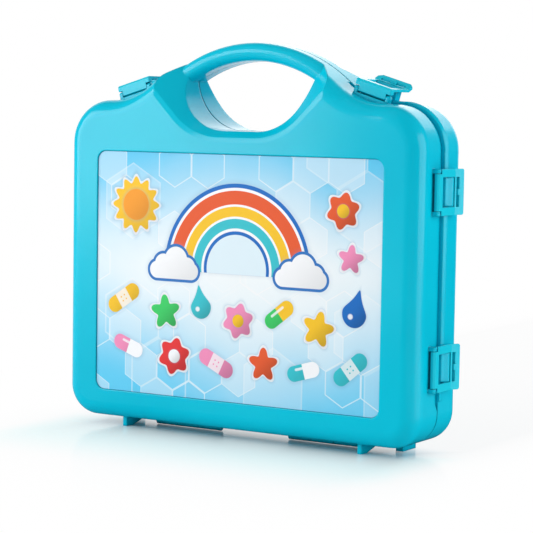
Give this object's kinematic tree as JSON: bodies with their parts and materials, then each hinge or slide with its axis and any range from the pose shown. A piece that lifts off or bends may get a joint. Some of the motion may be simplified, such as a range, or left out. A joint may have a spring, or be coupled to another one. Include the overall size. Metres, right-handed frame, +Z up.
{
  "type": "toy doctor case",
  "caption": "Toy doctor's carrying case: moulded half shells with an arched handle, a hinge along the bottom, snap latches round the rim and a printed front panel.",
  "frame": {"origin": "on the floor, under the middle of the closed case", "axes": "+Z up through the handle, -Y towards the printed front, +X to the right seen from the front"},
  "size_m": [0.2748, 0.056, 0.2508],
  "materials": {
    "turquoise_plastic": "moulded polypropylene, glossy",
    "printed_label": "printed film, satin",
    "steel_pin": "drawn wire"
  },
  "bodies": {
    "rear_half": {"rear_shell": "turquoise_plastic", "hinge_pin_left": "steel_pin", "hinge_pin_right": "steel_pin"},
    "front_half": {"front_shell": "turquoise_plastic", "front_label": "printed_label", "latch_pin_right_upper": "steel_pin", "latch_pin_right_lower": "steel_pin", "latch_pin_left_upper": "steel_pin", "latch_pin_left_lower": "steel_pin", "latch_pin_top_right": "steel_pin", "latch_pin_top_left": "steel_pin"},
    "latch_right_upper": {"latch_right_upper": "turquoise_plastic"},
    "latch_right_lower": {"latch_right_lower": "turquoise_plastic"},
    "latch_left_upper": {"latch_left_upper": "turquoise_plastic"},
    "latch_left_lower": {"latch_left_lower": "turquoise_plastic"},
    "latch_top_right": {"latch_top_right": "turquoise_plastic"},
    "latch_top_left": {"latch_top_left": "turquoise_plastic"}
  },
  "joints": [
    {"name": "lid_hinge", "type": "hinge", "parent": "rear_half", "child": "front_half", "pos_m": [0, 0.002, 0.0027], "axis": [1, 0, 0], "range_deg": [0, 175]},
    {"name": "latch_right_upper_hinge", "type": "hinge", "parent": "front_half", "child": "latch_right_upper", "pos_m": [0.1326, -0.0104, 0.1613], "axis": [0, 0, -1], "range_deg": [0, 100]},
    {"name": "latch_right_lower_hinge", "type": "hinge", "parent": "front_half", "child": "latch_right_lower", "pos_m": [0.1326, -0.0104, 0.0546], "axis": [0, 0, -1], "range_deg": [0, 100]},
    {"name": "latch_left_upper_hinge", "type": "hinge", "parent": "front_half", "child": "latch_left_upper", "pos_m": [-0.1326, -0.0104, 0.1613], "axis": [0, 0, 1], "range_deg": [0, 100]},
    {"name": "latch_left_lower_hinge", "type": "hinge", "parent": "front_half", "child": "latch_left_lower", "pos_m": [-0.1326, -0.0104, 0.0546], "axis": [0, 0, 1], "range_deg": [0, 100]},
    {"name": "latch_top_right_hinge", "type": "hinge", "parent": "front_half", "child": "latch_top_right", "pos_m": [0.08774, -0.0104, 0.21979], "axis": [0.9588, 0, -0.284], "range_deg": [0, 90]},
    {"name": "latch_top_left_hinge", "type": "hinge", "parent": "front_half", "child": "latch_top_left", "pos_m": [-0.08774, -0.0104, 0.21979], "axis": [0.9588, 0, 0.284], "range_deg": [0, 90]}
  ]
}
